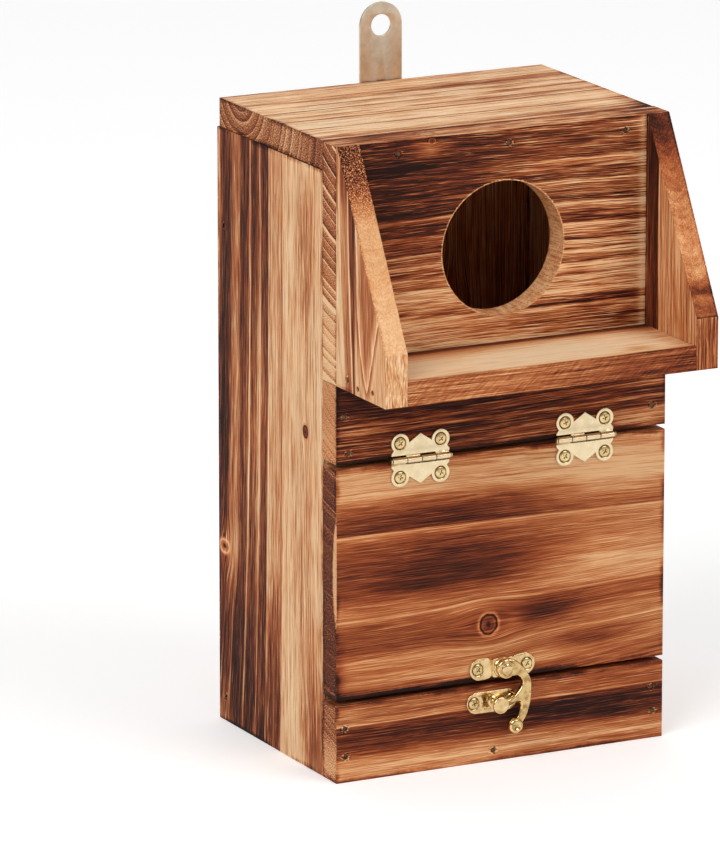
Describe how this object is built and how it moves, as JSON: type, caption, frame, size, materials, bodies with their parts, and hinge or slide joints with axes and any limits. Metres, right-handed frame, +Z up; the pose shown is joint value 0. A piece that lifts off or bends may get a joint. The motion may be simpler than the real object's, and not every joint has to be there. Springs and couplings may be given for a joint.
{
  "type": "bird nest box",
  "caption": "Wall-hung wooden nest box: porch round a circular entrance, clean-out door hinged at its top and shut by a swinging hook latch, and a steel hanger strap.",
  "frame": {"origin": "middle of the underside of the box body", "axes": "+Z up, the entrance and door face -Y, +X to the right of someone facing the front"},
  "size_m": [0.14, 0.1413, 0.2756],
  "materials": {
    "scorched_wood": "scorched and brushed softwood, unvarnished",
    "pale_brass": "brass-plated pressed sheet",
    "polished_brass": "polished cast brass",
    "nickel_steel": "nickel-plated strip, satin",
    "dark_nail": "dark wire nail"
  },
  "bodies": {
    "box": {"left_side_panel": "scorched_wood", "right_side_panel": "scorched_wood", "back_panel": "scorched_wood", "floor_board": "scorched_wood", "roof_board": "scorched_wood", "front_panel": "scorched_wood", "hinge_rail": "scorched_wood", "bottom_rail": "scorched_wood", "left_porch_cheek": "scorched_wood", "right_porch_cheek": "scorched_wood", "porch_sill": "scorched_wood", "left_hinge_frame_leaf": "pale_brass", "left_hinge_pin": "pale_brass", "right_hinge_frame_leaf": "pale_brass", "right_hinge_pin": "pale_brass", "left_hinge_frame_screw_left": "polished_brass", "left_hinge_frame_screw_right": "polished_brass", "right_hinge_frame_screw_left": "polished_brass", "right_hinge_frame_screw_right": "polished_brass", "keeper_plate": "polished_brass", "keeper_stud": "polished_brass", "keeper_screw_left": "polished_brass", "keeper_screw_right": "polished_brass", "hanger_strap": "nickel_steel", "hanger_screw_lower": "nickel_steel", "hanger_screw_upper": "nickel_steel", "front_panel_nail_1": "dark_nail", "front_panel_nail_2": "dark_nail", "front_panel_nail_3": "dark_nail", "hinge_rail_nail_left_1": "dark_nail", "hinge_rail_nail_left_2": "dark_nail", "hinge_rail_nail_right_1": "dark_nail", "hinge_rail_nail_right_2": "dark_nail", "bottom_rail_nail_left_1": "dark_nail", "bottom_rail_nail_left_2": "dark_nail", "bottom_rail_nail_right_1": "dark_nail", "bottom_rail_nail_right_2": "dark_nail", "bottom_rail_nail_middle": "dark_nail", "porch_cheek_nail_left_1": "dark_nail", "porch_cheek_nail_left_2": "dark_nail", "porch_cheek_nail_left_3": "dark_nail", "porch_cheek_nail_right_1": "dark_nail", "porch_cheek_nail_right_2": "dark_nail", "porch_cheek_nail_right_3": "dark_nail", "side_panel_nail_left_1": "dark_nail", "side_panel_nail_left_2": "dark_nail", "side_panel_nail_right_1": "dark_nail", "side_panel_nail_right_2": "dark_nail"},
    "door": {"clean_out_door": "scorched_wood", "left_hinge_door_leaf": "pale_brass", "right_hinge_door_leaf": "pale_brass", "left_hinge_door_screw_left": "polished_brass", "left_hinge_door_screw_right": "polished_brass", "right_hinge_door_screw_left": "polished_brass", "right_hinge_door_screw_right": "polished_brass", "latch_plate": "polished_brass", "latch_rivet": "polished_brass", "latch_screw_left": "polished_brass", "latch_screw_right": "polished_brass"},
    "hook": {"latch_hook": "polished_brass"}
  },
  "joints": [
    {"name": "door_hinge", "type": "hinge", "parent": "box", "child": "door", "pos_m": [0, -0.0513, 0.1227], "axis": [-1, 0, 0], "range_deg": [0, 130]},
    {"name": "latch_pivot", "type": "hinge", "parent": "door", "child": "hook", "pos_m": [0, -0.05, 0.037], "axis": [0, -1, 0], "range_deg": [0, 283]}
  ]
}
